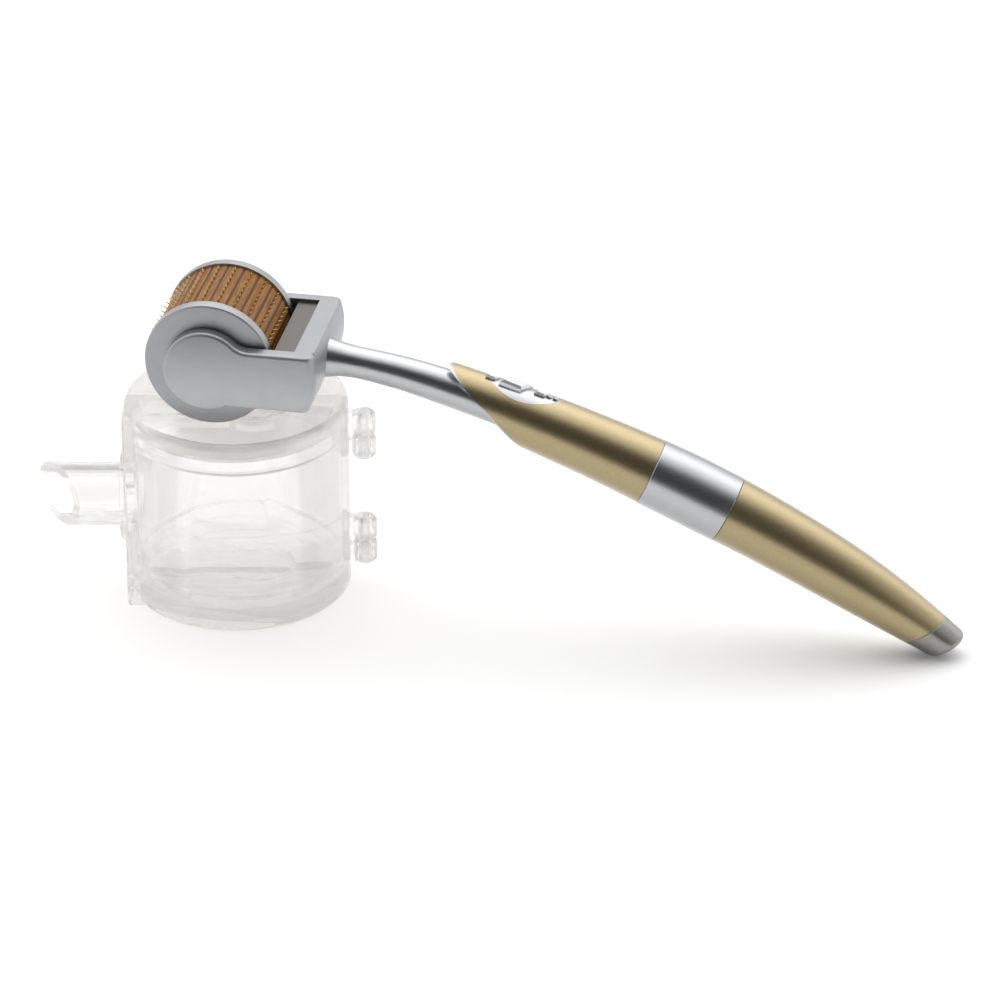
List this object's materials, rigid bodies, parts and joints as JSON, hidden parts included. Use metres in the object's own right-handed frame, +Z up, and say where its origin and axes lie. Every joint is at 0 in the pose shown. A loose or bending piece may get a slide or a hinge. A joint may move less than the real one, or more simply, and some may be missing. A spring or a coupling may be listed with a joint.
{
  "type": "derma roller",
  "caption": "Skin-needling hand roller with a fork-held needled drum, bent neck and two-part handle, resting on its own clear hinged head case.",
  "frame": {"origin": "centre of the closed case's base, on the surface that the object stands on", "axes": "+Z up, -X along the case's spout, +X towards the case's hinge and the handle, +Y towards the case's rear half"},
  "size_m": [0.1609, 0.049, 0.0601],
  "materials": {
    "clear_plastic": "clear moulded plastic",
    "satin_silver": "satin silver paint on plastic",
    "steel": "plain steel",
    "white_plastic": "white acetal",
    "satin_metal": "satin anodised aluminium",
    "polished_stud": "polished plated studs",
    "inner_plastic": "grey nylon",
    "satin_gold": "satin gold paint on plastic",
    "dark_nickel": "satin nickel-coloured plating",
    "amber_plastic": "amber-brown moulded plastic",
    "needle_gold": "gold-coloured titanium-coated steel"
  },
  "bodies": {
    "case_front": {"case_front_half": "clear_plastic", "hinge_pins": "clear_plastic"},
    "case_rear": {"case_rear_half": "clear_plastic"},
    "roller": {"fork_near_half": "satin_silver", "fork_far_half": "satin_silver", "fork_dowels": "steel", "axle_pin": "steel", "near_washer": "white_plastic", "far_washer": "white_plastic", "stem": "satin_metal", "stem_pin": "steel", "front_shell": "satin_gold", "front_trim": "satin_metal", "leaf_inlay": "satin_metal", "large_stud": "polished_stud", "small_studs": "polished_stud", "joint_sleeve": "inner_plastic", "band": "satin_metal", "rear_shell": "satin_gold", "end_cap": "dark_nickel"},
    "drum": {"drum_core": "amber_plastic", "near_flange": "satin_silver", "far_flange": "satin_silver", "near_bush": "white_plastic", "far_bush": "white_plastic", "needle_ring_1": "needle_gold", "needle_ring_2": "needle_gold", "needle_ring_3": "needle_gold", "needle_ring_4": "needle_gold", "needle_ring_5": "needle_gold", "needle_ring_6": "needle_gold", "needle_ring_7": "needle_gold", "needle_ring_8": "needle_gold"}
  },
  "joints": [
    {"name": "case_open", "type": "hinge", "parent": "case_front", "child": "case_rear", "pos_m": [0.0221, 0, 0], "axis": [0, 0, -1], "range_deg": [0, 130]},
    {"name": "roller_lift", "type": "slide", "parent": "case_front", "child": "roller", "axis": [0, 0, 1], "range_m": [0, 0.12]},
    {"name": "drum_spin", "type": "hinge", "parent": "roller", "child": "drum", "pos_m": [-0.00218, -0.00291, 0.04855], "axis": [0.1836, 0.983, 0], "continuous": true}
  ]
}
